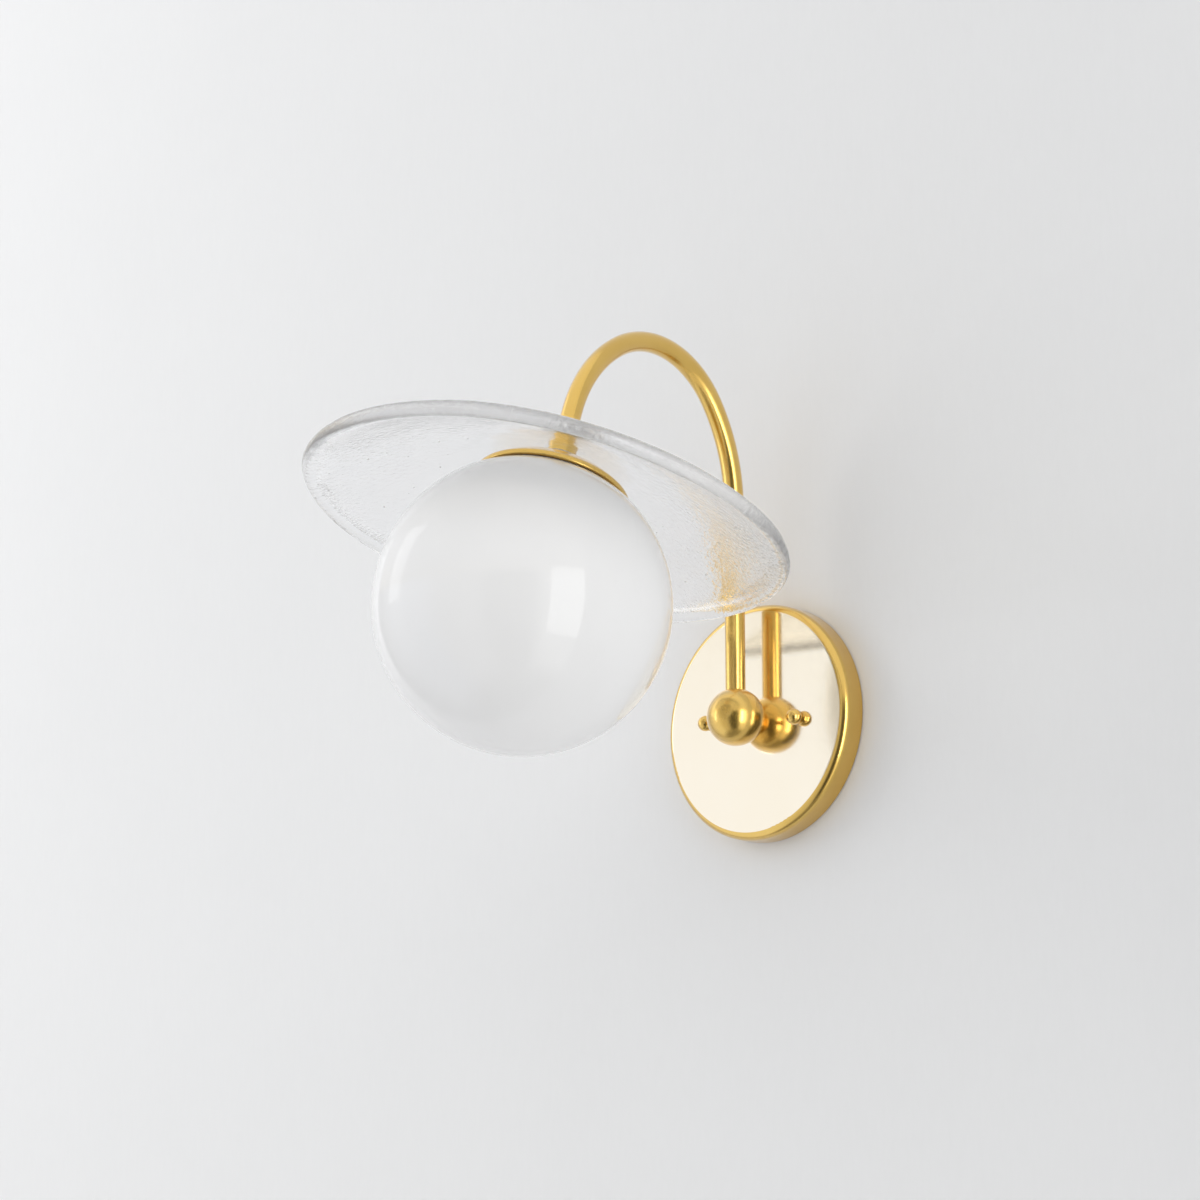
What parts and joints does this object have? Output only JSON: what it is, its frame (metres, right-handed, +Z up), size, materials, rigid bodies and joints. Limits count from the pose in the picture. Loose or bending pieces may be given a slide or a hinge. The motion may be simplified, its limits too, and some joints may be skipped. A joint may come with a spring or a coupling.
{
  "type": "wall sconce",
  "caption": "Gooseneck wall sconce: round plate and ball hub, arched tube arm, tilted clear glass shade over a round opal globe.",
  "frame": {"origin": "centre of the box screw circle on the wall plane, behind the middle of the wall plate", "axes": "+X along the wall to the right, +Y into the wall, +Z up"},
  "size_m": [0.2298, 0.2779, 0.2484],
  "materials": {
    "polished_brass": "mirror polished and lacquered",
    "satin_brass": "satin polished and lacquered",
    "zinc_steel": "zinc plated",
    "green_screw": "green plated ground screw",
    "bare_copper": "bare drawn copper",
    "clear_glass": "clear, hand formed, fire polished",
    "opal_glass": "white opal cased in clear glass, glossy",
    "clear_silicone": "translucent silicone",
    "white_ceramic": "unglazed",
    "lamp_phosphor": "phosphor coated rod",
    "lead_sheath": "matt sheath",
    "connector_plastic": "moulded, matt"
  },
  "bodies": {
    "fixture": {"backplate": "polished_brass", "mounting_bar": "zinc_steel", "left_stud": "zinc_steel", "left_stud_nut": "zinc_steel", "right_stud": "zinc_steel", "right_stud_nut": "zinc_steel", "ground_screw": "green_screw", "ground_tag": "zinc_steel", "ground_lead": "bare_copper", "hub_ball": "satin_brass", "hub_nipple": "zinc_steel", "hub_washer": "zinc_steel", "hub_nut": "zinc_steel", "arm_tube": "satin_brass", "arm_collar": "satin_brass", "shade_top_seal": "clear_silicone", "glass_shade": "clear_glass", "shade_bottom_seal": "clear_silicone", "cap": "satin_brass", "fitter_ring": "satin_brass", "head_nipple": "zinc_steel", "head_nut": "zinc_steel", "holder_bracket": "zinc_steel", "holder_screws": "zinc_steel", "lampholder": "white_ceramic", "lamp_lead": "lead_sheath", "left_core": "lead_sheath", "right_core": "lead_sheath", "left_connector": "connector_plastic", "right_connector": "connector_plastic"},
    "left_washer": {"left_nut_washer": "satin_brass"},
    "left_nut": {"left_ball_nut": "satin_brass"},
    "right_washer": {"right_nut_washer": "satin_brass"},
    "right_nut": {"right_ball_nut": "satin_brass"},
    "globe_washer": {"neck_seal": "clear_silicone"},
    "globe": {"opal_globe": "opal_glass"},
    "lamp": {"lamp_base": "white_ceramic", "lamp_pins": "zinc_steel", "lamp_glass": "clear_glass", "lamp_element": "lamp_phosphor"}
  },
  "joints": [
    {"name": "left_washer_slide", "type": "slide", "parent": "fixture", "child": "left_washer", "axis": [0, -1, 0], "range_m": [0, 0.0063]},
    {"name": "left_nut_turn", "type": "hinge", "parent": "left_washer", "child": "left_nut", "pos_m": [-0.0299, -0.0132, 0.00251], "axis": [0, -1, 0], "range_deg": [0, 3250]},
    {"name": "right_washer_slide", "type": "slide", "parent": "fixture", "child": "right_washer", "axis": [0, -1, 0], "range_m": [0, 0.0063]},
    {"name": "right_nut_turn", "type": "hinge", "parent": "right_washer", "child": "right_nut", "pos_m": [0.0299, -0.0132, -0.00251], "axis": [0, -1, 0], "range_deg": [0, 3250]},
    {"name": "globe_drop", "type": "slide", "parent": "fixture", "child": "globe_washer", "axis": [0, -0.309, -0.9511], "range_m": [0, 0.006]},
    {"name": "globe_turn", "type": "hinge", "parent": "globe_washer", "child": "globe", "pos_m": [0, -0.17857, 0.03169], "axis": [0, -0.309, -0.9511], "range_deg": [0, 720]},
    {"name": "lamp_pull", "type": "slide", "parent": "fixture", "child": "lamp", "axis": [0, -0.309, -0.9511], "range_m": [0, 0.012]}
  ],
  "couplings": [
    {"joint": "left_nut_turn", "follows": "left_washer_slide", "rad_per_m": 8976},
    {"joint": "right_nut_turn", "follows": "right_washer_slide", "rad_per_m": 8976},
    {"joint": "globe_drop", "follows": "globe_turn", "m_per_rad": 0.00047746}
  ]
}
